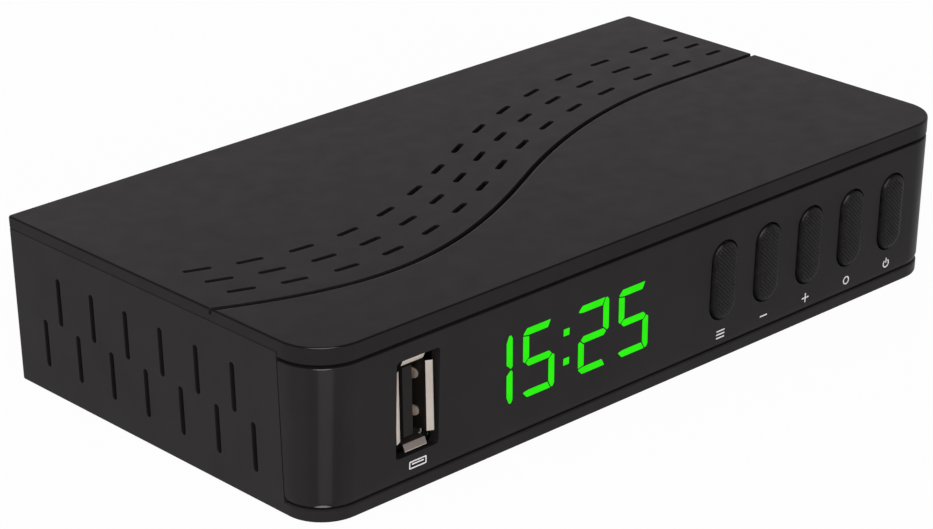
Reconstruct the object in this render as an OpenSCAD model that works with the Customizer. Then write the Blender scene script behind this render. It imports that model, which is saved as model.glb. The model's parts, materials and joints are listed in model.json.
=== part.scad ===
// TV decoder box: slotted lid, tray, wrap-round front panel with five keys,
// and the boards and sockets inside. Sizes in millimetres, front faces -Y.

/* [Case] */
// Width of the case at its top edge
case_w = 138; // [134:1:150]
// Depth of the case at its top edge
case_d = 74; // [72:1:84]
// Height of the case without its feet
case_h = 28; // [27:0.5:32]
// Radius of the two front corners
corner_r = 7.6; // [6:0.1:9]
// Radius of the two rear corners
rear_corner_r = 0.6; // [0.4:0.1:1.5]
// Lean of each side wall, from top edge to bottom edge
side_lean = 0.5; // [0:0.1:1.2]
// Lean of the front, from top edge to bottom edge
front_lean = 1.4; // [0:0.1:2]
// Thickness of the moulded walls
wall = 1.8; // [1.6:0.1:2.2]
// Thickness of the floor
floor_t = 1.8; // [1.6:0.1:2.2]
// Rounding of the lid's top edge
edge_r = 0.3; // [0.2:0.05:0.8]
// Rounding of the tray's bottom edge
base_edge = 0.2; // [0.1:0.05:0.6]
// Clearance between moulded pieces that fit together
fit_gap = 0.15; // [0.1:0.05:0.25]

/* [Lid] */
// Thickness of the lid and height of its lip on the sides
lid_t = 2; // [1.8:0.1:2.4]
// Extra drop of the lip along the front
lid_drop = 0.7; // [0.5:0.05:1.2]
// Width of the shadow groove under the front lip
shadow_gap = 0.6; // [0.3:0.05:0.9]
// Depth of the rim that locates the lid inside the walls
rim_h = 2.2; // [2:0.1:3]
// Width of the curved groove in the lid
groove_w = 1.3; // [1.2:0.1:1.6]
// Depth of the curved groove
groove_depth = 0.9; // [0.8:0.05:1.1]
// Rounding of the groove's front edge
groove_round = 0.75; // [0.5:0.05:0.8]
// Distance from the groove to the first row of vents
vent_offset = 5.5; // [5:0.1:7]
// Distance between the rows of vents
vent_row_pitch = 5.2; // [4.8:0.1:6]
// Number of rows of vents
vent_rows = 3; // [1:1:4]
// Length of one vent
vent_l = 4.5; // [3.5:0.1:5]
// Width of one vent
vent_w = 1; // [0.8:0.1:1.3]

/* [Side walls] */
// Length of one side slot
side_slot_l = 8; // [6:0.1:8.2]
// Width of one side slot
side_slot_w = 1.1; // [0.8:0.1:1.4]
// Distance between neighbouring side slots in one row
side_slot_pitch = 8.48; // [7.5:0.02:10]
// Height of the middle of the lower row of side slots
side_slot_z = 8.7; // [8:0.1:9.5]

/* [Front panel] */
// Distance from the front edge to the side seam
panel_wrap = 9; // [8:0.1:9.5]
// Width of the side seam
seam_gap = 0.2; // [0.15:0.05:0.4]
// Height of the tray's lip under the panel
base_lip = 2.05; // [2:0.05:2.6]
// Gap between the tray's lip and the panel
base_gap = 0.3; // [0.3:0.05:0.6]
// How far the keys and sockets sit above the middle of the panel
controls_lift = 0.375; // [0:0.025:0.5]
// Skin left in front of the display
window_skin = 0.8; // [0.6:0.1:1]

/* [Keys] */
// Width of a key
key_w = 5.4; // [5:0.1:6.2]
// Distance from a key to the top and bottom edges of the panel
key_margin = 4.525; // [4:0.025:6]
// Gap between a key and its slot
key_gap = 0.3; // [0.25:0.05:0.4]
// How far a key stands out of the panel
key_proud = 0.5; // [0.5:0.1:1.2]
// Distance between keys, as a share of the case's width
key_pitch_share = 0.0739; // [0.072:0.0001:0.0745]
// Distance from the last key to the right side of the case, as a share of the width
key_end_share = 0.0935; // [0.092:0.0005:0.098]
// Press travel of a key
key_travel = 0.5; // [0.3:0.1:0.7]

/* [Display] */
// Middle of the display, as a share of the case's width from the left
display_share = 0.358; // [0.3554:0.0002:0.3594]
// Distance between digits, as a share of the case's width
digit_pitch_share = 0.063; // [0.055:0.0005:0.0635]
// Distance from a digit to the top and bottom edges of the panel
digit_margin = 5.375; // [5:0.025:7]
// Thickness of a segment
segment_w = 1.3; // [1:0.1:1.5]

/* [USB socket] */
// Middle of the socket, as a share of the case's width from the left
usb_share = 0.1396; // [0.1375:0.0001:0.1405]
// Recess of the socket's mouth behind the panel face
usb_recess = 0.7; // [0.5:0.1:1]

/* [Rear sockets] */
// How far the aerial sockets stand out behind the case
aerial_proud = 10; // [8:0.5:12]

/* [Feet] */
// Diameter of a foot
foot_d = 9; // [7:0.5:10]
// How far a foot stands out of the floor
foot_proud = 1; // [0.6:0.1:1.6]

/* [Hidden] */

$fn = 48;
eps = 0.01;
far = 200;
seat_gap = 0.05;
corner_steps = 14;
rear_steps = 3;

// Levels, measured from the underside of the floor
side_top = case_h - lid_t;
lip_bottom = side_top - lid_drop;
panel_top = lip_bottom - shadow_gap;
panel_bottom = base_lip + base_gap;
controls_z = (panel_bottom + panel_top) / 2 + controls_lift;
key_h = panel_top - panel_bottom - 2 * key_margin;
digit_h = panel_top - panel_bottom - 2 * digit_margin;
seam_y = -case_d / 2 + panel_wrap;
seam_bevel = 0.12;
lip_bevel = 0.2;
chin_h = 0.9;
chin_in = 0.3;
brow_r = 0.3;
rim_t = 1.2;
rib_over = 1.5;
rib_short = 4.5;
cut_reach = 4;
rake = atan(front_lean / case_h);

// Curved groove: left end, trough, middle of the rise, crest
wave_left_y = -13.7;
wave_trough_x = -40.5;
wave_trough_y = -21.55;
wave_rise_y = -7.8;
wave_crest_x = 48;
wave_crest_y = 6.3;
wave_left = [-case_w / 2, wave_left_y, -0.5];
wave_trough = [wave_trough_x, wave_trough_y, 0];
wave_rise = [0, wave_rise_y, 0.55];
wave_crest = [wave_crest_x, wave_crest_y, 0];
wave_steps = 64;
wave_past = 1;
groove_slit = groove_w - groove_round;
groove_over = 0.3;

// Vents
vent_first = 7.6;
vent_last = 4.5;
vent_end_x = case_w / 2 - vent_last;
vent_end_short = 0.9;
vent_web = 1.5;
vent_columns = 15;
vent_pitch_first = 8.2;
vent_pitch_gain = 0.5;
vent_pitch_last = 9.75;
side_slot_first = 6.15;
side_slot_last = 7.6;
floor_slots = 9;
floor_slot_pitch = 8;
floor_slot_l = 16;
floor_slot_w = 1.6;

// Rear panel
rear_t = 1.5;
rear_in = 0.4;
rear_slot = 0.9;
rear_sill = 0.6;
rear_face = case_d / 2 - rear_in;
rear_inside = rear_face - rear_t;

// Case screws and the pillars round them
pillar_r = 3.2;
pillar_from_side = 7.5;
pillar_x = case_w / 2 - pillar_from_side;
lid_pillar_h = 6;
pillar_split = side_top - lid_pillar_h;
pillar_from_front = 16.5;
pillar_from_rear = 3.6;
pillar_front_y = -case_d / 2 + pillar_from_front;
pillar_rear_y = rear_inside - pillar_from_rear;
screw_web = 3;
case_screw_r = 1.25;
case_screw_l = 7.4;
case_screw_head_r = 2.4;
case_screw_head_h = 1.6;
well_r = 2.7;
screw_gap = 0.03;

// Main board
board_t = 1.6;
usb_w = 5.8;
usb_h = 13.2;
usb_lift = 0.3;
usb_z = controls_z + usb_lift;
board_top = usb_z - usb_h / 2;
board_bottom = board_top - board_t;
board_side_gap = 0.8;
board_hw = pillar_x - pillar_r - board_side_gap;
board_rear_gap = 0.5;
board_rear = rear_inside - board_rear_gap;
edge_gap = 0.6;
boss_r = 3;
board_screw_r = 1.3;
board_screw_head_r = 2.75;
board_screw_head_h = 1.8;
board_hole_r = 1.6;
screw_end_gap = 0.4;
board_screw_end = floor_t + screw_end_gap;

// Front assembly, square to the leaning panel
segment_t = 0.15;
display_t = 8;
display_margin = 1.5;
display_clear = 0.2;
front_depth = window_skin + seat_gap + segment_t + display_t;
digit_pitch = case_w * digit_pitch_share;
digit_w = digit_pitch * 0.76;
colon_extra = digit_pitch / 3;
display_w = 3 * digit_pitch + colon_extra + digit_w + 2 * display_margin;
display_h = digit_h + 2 * display_margin;
display_x = case_w * (display_share - 0.5);
display_drop = 0.35;
segment_cut = 0.22;
segment_tip = 0.9;
segment_nose = 0.3;
colon_h = digit_h * 0.22;
front_board_gap = 0.4;
front_board_lift = 1.95;
front_board_top = side_top - rim_h - front_board_gap - controls_z;
front_board_low = panel_bottom + front_board_lift - controls_z;
front_board_h = front_board_top - front_board_low;
front_board_end = 5;
front_board_left = display_x - display_w / 2 - front_board_end;
front_boss_r = 2.2;
front_screw_r = 0.9;
front_screw_head_r = 1.9;
front_screw_head_h = 1.3;
front_screw_bite = 5;
front_screw_v = 5;
key_count = 5;
key_flange = 1.1;
key_flange_t = 1;
key_bevel = 0.4;
key_post_r = 1.6;
switch_size = 6;
switch_t = 3.5;
plunger_r = 1.7;
plunger_fit = 0.08;
plunger_l = 1.5;
plunger_in = 0.8;
key_pitch = case_w * key_pitch_share;
last_key_x = case_w * (0.5 - key_end_share);
key_to_board_end = 8.6;
front_board_right = last_key_x + key_to_board_end;
front_boss_in = 2.4;
front_boss_x = [front_board_left + front_boss_in, display_x + display_w / 2 + front_boss_in + 0.4,
    front_board_right - front_boss_in];
ir_w = 5;
ir_h = 6.8;
ir_t = 2.8;
ir_lens_r = 2.1;
ir_drop = 4.2;
ir_gap = 0.8;
ir_x = last_key_x - (key_count - 1) * key_pitch - key_w / 2 - key_flange - ir_gap - ir_w / 2;
main_front = front_y(controls_z) + (front_depth + board_t) * cos(rake)
    + (controls_z - board_bottom) * sin(rake) + edge_gap;

// Link between the boards
header_pins = 8;
header_pitch = 2.54;
header_s = 2.5;
header_pin = 0.64;
header_x = last_key_x - key_pitch * 2.5;
header_slot = 1.8;

// USB socket
usb_x = case_w * (usb_share - 0.5);
usb_l = 14;
usb_t = 0.3;
usb_mouth = front_y(controls_z) + usb_recess;
usb_flare = 0.775;
usb_flare_l = 0.45;
usb_gap = 0.5;
usb_cut_w = usb_w + 2 * usb_flare + 2 * usb_gap;
usb_cut_h = usb_h + 2 * usb_flare + 2 * usb_gap;
usb_cut_r = 0.6;
usb_tongue_t = 1.84;
usb_tongue_x = -0.5;
usb_tongue_h = 11.1;
usb_tongue_in = 1;
usb_block_in = 9.5;
usb_spring_r = 0.87;
usb_spring_t = 0.7;
usb_slit = 1.9;
usb_spring_z = 3;
usb_spring_in = 2.92;
usb_spring_flat = 0.74;
usb_side_cut = 0.95;
usb_end_cut = 0.75;
usb_corner_r = 0.5;
contact_w = 1;
contact_t = 0.25;
contact_z = [-3.5, -1, 1, 3.5];
contact_in = 0.8;
usb_overhang = 2.4;
usb_land = 2.4;
usb_board_gap = 0.25;
tab_front = usb_mouth + usb_overhang;
tab_edge = min(usb_x + usb_w / 2 + usb_land, front_board_left - usb_board_gap);
panel_tab_h = 10;
panel_tab_l = 4;

// Tuner and aerial sockets
tuner_w = board_hw * 0.626;
tuner_d = 22;
tuner_h = 13;
tuner_in = 2.5;
tuner_x = -board_hw + tuner_w / 2 + tuner_in;
tuner_dimple_r = 2;
tuner_dimple = 0.4;
aerial_pitch = tuner_w / 2;
aerial_z = board_top + tuner_h / 2;
aerial_end = case_d / 2 + aerial_proud;
aerial_root = rear_inside - seat_gap;
aerial_flange_r = 6.6;
aerial_flange_t = 1;
aerial_in_r = 5.8;
aerial_in_bore = 4.78;
aerial_out_r = 4.75;
aerial_out_bore = 4.15;
aerial_hole_gap = 0.4;
aerial_pin_r = 1.19;
aerial_tube_r = 1.9;
aerial_disc_t = 2.5;
aerial_core_back = 1.5;

// Other rear sockets
dc_from_end = 13;
av_from_dc = 18.5;
hdmi_from_av = 20;
dc_x = board_hw - dc_from_end;
av_x = dc_x - av_from_dc;
hdmi_x = av_x - hdmi_from_av;
hdmi_step = 1;
hdmi_tongue_lift = 0.3;
hdmi_tongue_in = 0.8;
hdmi_w = 15;
hdmi_h = 5.8;
hdmi_l = 11.5;
hdmi_t = 0.4;
hdmi_bevel = 1.2;
hdmi_tongue_t = 1.2;
hdmi_tongue_w = 11.6;
hdmi_block_l = 4.5;
socket_face = rear_face;
socket_gap = 0.3;
av_w = 7;
av_h = 6;
av_l = 12;
av_nose_r = 3;
av_bore_r = 1.8;
av_stop = 1;
dc_w = 9;
dc_h = 11;
dc_l = 13.5;
dc_nose_r = 4;
dc_bore_r = 3;
dc_bore_l = 9;
dc_pin_r = 1;
dc_z = 6.5;

// Board parts
chip_x = 4;
chip_y = 2;
chip_s = 15;
chip_h = 1.3;
sink_s = 22;
sink_base = 2;
sink_fins = 8;
sink_fin_t = 0.9;
sink_fin_h = 8;
memory_size = [12.5, 8, 1.1];
memory_at = [board_hw * 0.487, chip_y];
flash_size = [5.3, 5.3, 1.8];
flash_y = -11;
flash_at = [board_hw * 0.487, flash_y];
crystal_at = [-board_hw * 0.243, 2 * chip_y];
crystal_l = 11.4;
crystal_w = 4.7;
crystal_h = 3.5;
cap_small_r = 3.15;
cap_small_h = 7.5;
cap_big_r = 4;
cap_big_h = 11;
cap_row_y = -8;
cap_front_y = -17;
cap_rear_y = 12;
cap_end = 10.5;
cap_big_y = 5;
cap_small_at = [[board_hw * 0.7, cap_rear_y], [-board_hw * 0.52, cap_row_y],
    [-board_hw * 0.68, cap_row_y], [board_hw * 0.24, cap_front_y]];
cap_big_at = [[board_hw - cap_end, cap_big_y - 1], [board_hw - cap_end, -cap_big_y - 1]];
cap_crimp = 0.3;
cap_edge = 0.4;
cap_crimp_z = 1.6;
choke_s = 7;
choke_h = 4;
choke_r = 3;
choke_plate = 0.8;
choke_at = [-board_hw * 0.47, 2 * chip_y];

// Feet
foot_in = 0.6;
foot_from_side = 17;
foot_x = case_w / 2 - foot_from_side;
foot_from_front = 13;
foot_from_rear = 11;
foot_front_y = -case_d / 2 + foot_from_front;
foot_rear_y = case_d / 2 - foot_from_rear;
foot_bevel = 0.3;

// The origin is the middle of the overall footprint, on the table
key_front = front_y(controls_z) - key_proud * cos(rake) - (key_h / 2 - key_bevel) * sin(rake);
front_reach = max(case_d / 2, -key_front);
case_y = (front_reach - aerial_end) / 2;

// Board fixing points, kept clear of the sockets
fix_in = 5;
fix_corner_in = 3.4;
fix_front_y = -15;
fix_rear_in = 6.5;
fix_middle_x = (tuner_x + tuner_w / 2 + hdmi_x - hdmi_w / 2) / 2;
board_screw_at = [[-board_hw + fix_in, fix_front_y], [board_hw - fix_in, fix_front_y],
    [fix_middle_x, board_rear - fix_rear_in], [board_hw - fix_corner_in, board_rear - fix_rear_in]];

function half_w(z) = case_w / 2 - side_lean * (1 - z / case_h);
function front_y(z) = -case_d / 2 + front_lean * (1 - z / case_h);
function key_x(k) = last_key_x - (key_count - 1 - k) * key_pitch;
function arc(c, r, a, b, n) = [for (i = [0 : n])
    c + r * [cos(a + (b - a) * i / n), sin(a + (b - a) * i / n)]];

// Outline of the case at height z, moved in by inset
function ring(z, inset) = let (
    w = half_w(z) - inset,
    f = front_y(z) + inset,
    b = case_d / 2 - inset,
    r = max(corner_r - (side_lean + front_lean) / 2 * (1 - z / case_h) - inset, 0.3),
    q = max(rear_corner_r - inset, 0.3))
    concat(arc([-w + r, f + r], r, 180, 270, corner_steps),
        arc([w - r, f + r], r, 270, 360, corner_steps),
        arc([w - q, b - q], q, 0, 90, rear_steps),
        arc([-w + q, b - q], q, 90, 180, rear_steps));

// Curve through two knots [x, y, slope]
function blend(a, b, x) = let (h = b[0] - a[0], t = (x - a[0]) / h)
    a[1] * (1 + 2 * t) * (1 - t) * (1 - t) + a[2] * h * t * (1 - t) * (1 - t)
    + b[1] * t * t * (3 - 2 * t) + b[2] * h * t * t * (t - 1);
function wave(x) = x < wave_left[0] ? wave_left[1] + wave_left[2] * (x - wave_left[0])
    : x < wave_trough[0] ? blend(wave_left, wave_trough, x)
    : x < wave_rise[0] ? blend(wave_trough, wave_rise, x)
    : x < wave_crest[0] ? blend(wave_rise, wave_crest, x)
    : wave_crest[1];
function wave_angle(x) = atan((wave(x + 0.1) - wave(x - 0.1)) / 0.2);

// Vents step along the groove, a little closer together at the left, with a short last column
function vent_pitch(k) = min(vent_pitch_last, vent_pitch_first + vent_pitch_gain * k);
function vent_x(k) = k == 0 ? -case_w / 2 + vent_first
    : min(vent_end_x,
        vent_x(k - 1) + vent_pitch(k - 1) * cos(wave_angle(vent_x(k - 1) + vent_pitch(k - 1) / 2)));
function vent_reach(k) = vent_x(k) < vent_end_x ? vent_l : vent_l - vent_end_short;

module in_case() {
    translate([0, case_y, foot_proud]) children();
}

// Local axes: x along the panel, y inward, z up the leaning face
module on_front() {
    translate([0, front_y(controls_z), controls_z]) rotate([rake, 0, 0]) children();
}

// Solid through a stack of [height, inset] outlines of the case
module loft(stack) {
    rings = [for (s = stack) ring(s[0], s[1])];
    n = len(rings[0]);
    last = len(rings) - 1;
    points = [for (i = [0 : last]) for (p = rings[i]) [p.x, p.y, stack[i][0]]];
    sides = [for (i = [0 : last - 1]) for (j = [0 : n - 1])
        [i * n + j, (i + 1) * n + j, (i + 1) * n + (j + 1) % n, i * n + (j + 1) % n]];
    polyhedron(points, concat([[for (j = [0 : n - 1]) j]], sides,
        [[for (j = [0 : n - 1]) last * n + n - 1 - j]]));
}

// Band of the case outline between two insets
module band(z0, z1, outer, inner) {
    difference() {
        loft([[z0, outer], [z1, outer]]);
        loft([[z0 - 1, inner], [z1 + 1, inner]]);
    }
}

module ahead_of(y) {
    translate([-far / 2, y - far, -far / 2]) cube([far, far, far]);
}

module behind(y) {
    translate([-far / 2, y, -far / 2]) cube([far, far, far]);
}

module block(size) {
    translate([-size.x / 2, -size.y / 2, 0]) cube(size);
}

module slot_2d(l, w) {
    square([l - w, w], center = true);
    for (s = [-1, 1]) translate([s * (l - w) / 2, 0]) circle(d = w);
}

module round_rect_2d(w, h, r) {
    square([w - 2 * r, h], center = true);
    square([w, h - 2 * r], center = true);
    for (i = [-1, 1], j = [-1, 1]) translate([i * (w / 2 - r), j * (h / 2 - r)]) circle(r = r);
}

// Upright shape in the XZ plane, running from y = 0 to y = depth
module upright(depth) {
    translate([0, depth, 0]) rotate([90, 0, 0]) linear_extrude(depth) children();
}

module oblong(w, h, depth) {
    upright(depth) rotate(90) slot_2d(h, w);
}

module rod(r, y0, y1) {
    translate([0, y1, 0]) rotate([90, 0, 0]) cylinder(r = r, h = y1 - y0);
}

// Cut along the curved groove: square rear wall, rounded front edge
module wave_groove() {
    turns = 5;
    left = -groove_w / 2;
    profile = concat([[left, groove_over], [left, -groove_depth],
        [left + groove_slit, -groove_depth]],
        [for (i = [0 : turns]) let (a = 90 * i / turns)
            [left + groove_slit + groove_round * (1 - cos(a)), groove_round * (sin(a) - 1)]],
        [[left + groove_w, groove_over]]);
    n = len(profile);
    reach = case_w / 2 + wave_past;
    points = [for (i = [0 : wave_steps]) let (x = -reach + 2 * reach * i / wave_steps,
        a = wave_angle(x)) for (p = profile)
        [x + p[0] * sin(a), wave(x) - p[0] * cos(a), case_h + p[1]]];
    sides = [for (i = [0 : wave_steps - 1]) for (j = [0 : n - 1]) let (k = (j + 1) % n)
        each [[i * n + j, (i + 1) * n + k, (i + 1) * n + j], [i * n + j, i * n + k, (i + 1) * n + k]]];
    polyhedron(points, concat(sides, [[for (j = [0 : n - 1]) n - 1 - j]],
        [[for (j = [0 : n - 1]) wave_steps * n + j]]));
}

module at_pillars() {
    for (s = [-1, 1], y = [pillar_front_y, pillar_rear_y]) translate([s * pillar_x, y, 0]) children();
}

module lid() {
    rim = wall + fit_gap;
    color([0.16, 0.16, 0.165]) in_case() difference() {
        union() {
            loft([[side_top, seam_bevel], [side_top + seam_bevel, 0], [case_h - edge_r, 0],
                [case_h - edge_r * 0.62, edge_r * 0.08], [case_h - edge_r * 0.29, edge_r * 0.29],
                [case_h - edge_r * 0.08, edge_r * 0.62], [case_h, edge_r]]);
            intersection() {
                band(lip_bottom, side_top + lid_t / 2, 0, wall);
                ahead_of(seam_y - seam_gap);
            }
            intersection() {
                band(side_top - rim_h, side_top + lid_t / 2, rim, rim + rim_t);
                ahead_of(rear_inside - 1);
            }
            at_pillars() translate([0, 0, pillar_split])
                cylinder(r = pillar_r, h = side_top + lid_t / 2 - pillar_split);
        }
        wave_groove();
        for (k = [0 : vent_columns - 1]) let (x = vent_x(k), a = wave_angle(x))
            if (k == 0 || x - vent_x(k - 1) > vent_l + vent_web) for (j = [0 : vent_rows - 1])
                translate([x, wave(x) + vent_offset / cos(a) + j * vent_row_pitch, side_top - 1])
                    linear_extrude(lid_t + 2) rotate(a) slot_2d(vent_reach(k), vent_w);
        at_pillars() translate([0, 0, pillar_split - 1])
            cylinder(r = case_screw_r + screw_gap, h = case_screw_l - screw_web + 1.5);
    }
}

module side_slots() {
    first = seam_y + side_slot_first;
    last = case_d / 2 - side_slot_last;
    for (y = [first : side_slot_pitch : last]) translate([0, y, side_slot_z])
        rotate([0, 90, 0]) linear_extrude(far, center = true) slot_2d(side_slot_l, side_slot_w);
    for (y = [first + side_slot_pitch / 2 : side_slot_pitch : last])
        translate([0, y, side_slot_z + side_slot_l + 0.2]) rotate([0, 90, 0])
            linear_extrude(far, center = true) slot_2d(side_slot_l, side_slot_w);
}

module base_tray() {
    rib = wall + fit_gap;
    color([0.15, 0.15, 0.155]) in_case() difference() {
        union() {
            difference() {
                loft([[0, base_edge], [base_edge * 0.3, base_edge * 0.3], [base_edge, 0],
                    [side_top - seam_bevel, 0], [side_top, seam_bevel]]);
                loft([[floor_t, wall], [side_top + 1, wall]]);
                translate([0, 0, base_lip + far / 2]) ahead_of(seam_y);
                intersection() {
                    difference() {
                        loft([[base_lip - lip_bevel, -1], [base_lip + 1, -1]]);
                        loft([[base_lip - lip_bevel - 1, -1], [base_lip + 1.1, lip_bevel + 1.1]]);
                    }
                    ahead_of(seam_y);
                }
                intersection() {
                    translate([0, 2 * wall, 0]) loft([[floor_t, wall], [side_top + 1, wall]]);
                    behind(rear_inside - fit_gap);
                }
                side_slots();
            }
            intersection() {
                band(floor_t - 0.5, panel_bottom + rib_over, rib, rib + rim_t);
                ahead_of(seam_y - seam_gap - rib_short);
            }
            at_pillars() translate([0, 0, floor_t / 2])
                cylinder(r = pillar_r, h = pillar_split - floor_t / 2);
            for (p = board_screw_at) translate([p.x, p.y, floor_t / 2])
                cylinder(r = boss_r, h = board_bottom - floor_t / 2);
        }
        intersection() {
            translate([0, wall, 0])
                loft([[floor_t - rear_sill, wall - rear_slot], [side_top + 1, wall - rear_slot]]);
            behind(rear_inside - fit_gap);
            ahead_of(rear_face + fit_gap);
        }
        at_pillars() {
            translate([0, 0, -1]) cylinder(r = well_r, h = pillar_split - screw_web + 1);
            cylinder(r = case_screw_r + 0.25, h = far);
        }
        for (p = board_screw_at) translate([p.x, p.y, floor_t])
            cylinder(r = board_screw_r + screw_gap, h = far);
        for (s = [-1, 1], y = [foot_front_y, foot_rear_y]) translate([s * foot_x, y, -1])
            cylinder(d = foot_d + 2 * fit_gap, h = foot_in + 1);
        for (i = [0 : floor_slots - 1])
            translate([(i - (floor_slots - 1) / 2) * floor_slot_pitch, 0, -1])
                linear_extrude(floor_t + 2) rotate(90) slot_2d(floor_slot_l, floor_slot_w);
    }
}

module rear_panel() {
    color([0.13, 0.13, 0.135]) in_case() difference() {
        intersection() {
            translate([0, wall, 0])
                loft([[floor_t - rear_sill + seat_gap, wall - rear_slot + fit_gap],
                    [side_top - seat_gap, wall - rear_slot + fit_gap]]);
            behind(rear_inside);
            ahead_of(rear_face);
        }
        for (s = [-1, 1]) translate([tuner_x + s * aerial_pitch / 2, rear_inside - 1, aerial_z])
            rod(aerial_in_r + aerial_hole_gap, 0, rear_t + 2);
        translate([hdmi_x, rear_inside - 1, board_top + hdmi_h / 2]) upright(rear_t + 2)
            square([hdmi_w + 2 * socket_gap, hdmi_h + 2 * socket_gap], center = true);
        translate([av_x, rear_inside - 1, board_top + av_h / 2])
            rod(av_nose_r + socket_gap, 0, rear_t + 2);
        translate([dc_x, rear_inside - 1, board_top + dc_z])
            rod(dc_nose_r + socket_gap, 0, rear_t + 2);
    }
}

module front_panel() {
    tab = wall + fit_gap;
    tab_z = controls_z - panel_tab_h / 2;
    color([0.15, 0.15, 0.155]) in_case() difference() {
        union() {
            intersection() {
                difference() {
                    loft([[panel_bottom, chin_in], [panel_bottom + chin_h, 0], [panel_top - brow_r, 0],
                        [panel_top - brow_r * 0.3, brow_r * 0.3], [panel_top, brow_r]]);
                    loft([[panel_bottom - 1, wall], [panel_top + 1, wall]]);
                }
                ahead_of(seam_y - seam_gap);
            }
            // Tabs that reach behind the side walls
            intersection() {
                band(tab_z, tab_z + panel_tab_h, tab, tab + rim_t);
                behind(seam_y - panel_tab_l);
                ahead_of(seam_y + panel_tab_l);
            }
            intersection() {
                band(tab_z, tab_z + panel_tab_h, wall / 2, tab + rim_t);
                behind(seam_y - panel_tab_l);
                ahead_of(seam_y - seam_gap);
            }
            on_front() for (x = front_boss_x) translate([x, 0, front_screw_v])
                rod(front_boss_r, wall / 2, front_depth);
        }
        translate([usb_x, usb_mouth - cut_reach, usb_z]) upright(2 * cut_reach)
            round_rect_2d(usb_cut_w, usb_cut_h, usb_cut_r);
        on_front() {
            for (k = [0 : key_count - 1]) translate([key_x(k), -2, 0])
                oblong(key_w + 2 * key_gap, key_h + 2 * key_gap, wall + 3);
            translate([display_x - display_w / 2 - display_clear, window_skin,
                -display_drop - display_h / 2 - display_clear])
                cube([display_w + 2 * display_clear, wall, display_h + 2 * display_clear]);
            for (x = front_boss_x) translate([x, 0, front_screw_v])
                rod(front_screw_r + screw_gap, front_depth - front_screw_bite - 0.4, front_depth + 1);
        }
    }
}

module rubber_feet() {
    color([0.05, 0.05, 0.05]) in_case() for (s = [-1, 1], y = [foot_front_y, foot_rear_y])
        translate([s * foot_x, y, -foot_proud]) {
            translate([0, 0, foot_bevel]) cylinder(d = foot_d, h = foot_proud + foot_in - foot_bevel);
            cylinder(d1 = foot_d - 2 * foot_bevel, d2 = foot_d, h = foot_bevel);
        }
}

module screw(r, l, head_r, head_h) {
    difference() {
        union() {
            translate([0, 0, -head_h]) cylinder(r = head_r, h = head_h);
            cylinder(r = r, h = l);
        }
        for (a = [0, 90]) rotate(a) translate([-head_r * 0.55, -0.3, -head_h - 1])
            cube([head_r * 1.1, 0.6, 1 + head_h * 0.55]);
    }
}

module case_screws() {
    color([0.55, 0.55, 0.57]) in_case() at_pillars() translate([0, 0, pillar_split - screw_web])
        screw(case_screw_r, case_screw_l, case_screw_head_r, case_screw_head_h);
}

module main_board() {
    color([0.05, 0.25, 0.12]) in_case() translate([0, 0, board_bottom]) difference() {
        linear_extrude(board_t) polygon([[-board_hw, tab_front], [tab_edge, tab_front],
            [tab_edge, main_front], [board_hw, main_front], [board_hw, board_rear],
            [-board_hw, board_rear]]);
        for (p = board_screw_at) translate([p.x, p.y, -1]) cylinder(r = board_hole_r, h = board_t + 2);
    }
}

module board_screws() {
    color([0.6, 0.6, 0.6]) in_case() for (p = board_screw_at) translate([p.x, p.y, board_top])
        mirror([0, 0, 1]) screw(board_screw_r, board_top - board_screw_end, board_screw_head_r,
            board_screw_head_h);
}

module front_board() {
    color([0.05, 0.25, 0.12]) in_case() difference() {
        on_front() difference() {
            translate([front_board_left, front_depth, front_board_low])
                cube([front_board_right - front_board_left, board_t, front_board_h]);
            for (x = front_boss_x) translate([x, front_depth, front_screw_v])
                rod(front_screw_r + 0.2, -1, board_t + 1);
        }
        translate([header_x - header_pins * header_pitch / 2, -case_d / 2,
            board_top + header_s / 2 - header_slot / 2])
            cube([header_pins * header_pitch, case_d / 2, header_slot]);
    }
}

module front_board_screws() {
    color([0.6, 0.6, 0.6]) in_case() on_front() for (x = front_boss_x)
        translate([x, front_depth + board_t, front_screw_v]) rotate([90, 0, 0])
            screw(front_screw_r, board_t + front_screw_bite, front_screw_head_r, front_screw_head_h);
}

module board_header() {
    pin_front = front_y(controls_z) + front_depth - header_pin;
    color([0.08, 0.08, 0.08]) in_case() translate([header_x, 0, board_top]) {
        translate([-header_pins * header_pitch / 2, main_front, 0])
            cube([header_pins * header_pitch, header_s, header_s]);
        for (i = [0 : header_pins - 1])
            translate([(i - (header_pins - 1) / 2) * header_pitch - header_pin / 2, pin_front,
                header_s / 2 - header_pin / 2])
                cube([header_pin, main_front - pin_front + eps, header_pin]);
    }
}

module display_body() {
    color([0.75, 0.75, 0.72]) in_case() on_front()
        translate([display_x - display_w / 2, front_depth - display_t, -display_drop - display_h / 2])
            cube([display_w, display_t, display_h]);
}

function digit_x(d) = display_x + (d - 1.5) * digit_pitch + (d < 2 ? -1 : 1) * colon_extra / 2;

// Seven bars with pointed ends
module digit_2d() {
    w = digit_w / 2;
    h = digit_h / 2;
    t = segment_w;
    g = segment_cut;
    c = segment_tip;
    n = segment_nose;
    for (s = [0, 1]) mirror([0, s]) {
        polygon([[c - w, h], [w - c, h], [w - (c + g) / 2, h - (c - g) / 2], [w - t - g, h - t],
            [t + g - w, h - t], [(c + g) / 2 - w, h - (c - g) / 2]]);
        for (k = [0, 1]) mirror([k, 0])
            polygon([[w, h - c], [w, g / 2 + n], [w - n, g / 2], [w - t, g / 2 + t - n],
                [w - t, h - t - g], [w - (c - g) / 2, h - (c + g) / 2]]);
    }
    polygon([[n + g - w, 0], [n + g + t / 2 - w, t / 2], [w - n - g - t / 2, t / 2], [w - n - g, 0],
        [w - n - g - t / 2, -t / 2], [n + g + t / 2 - w, -t / 2]]);
}

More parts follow.
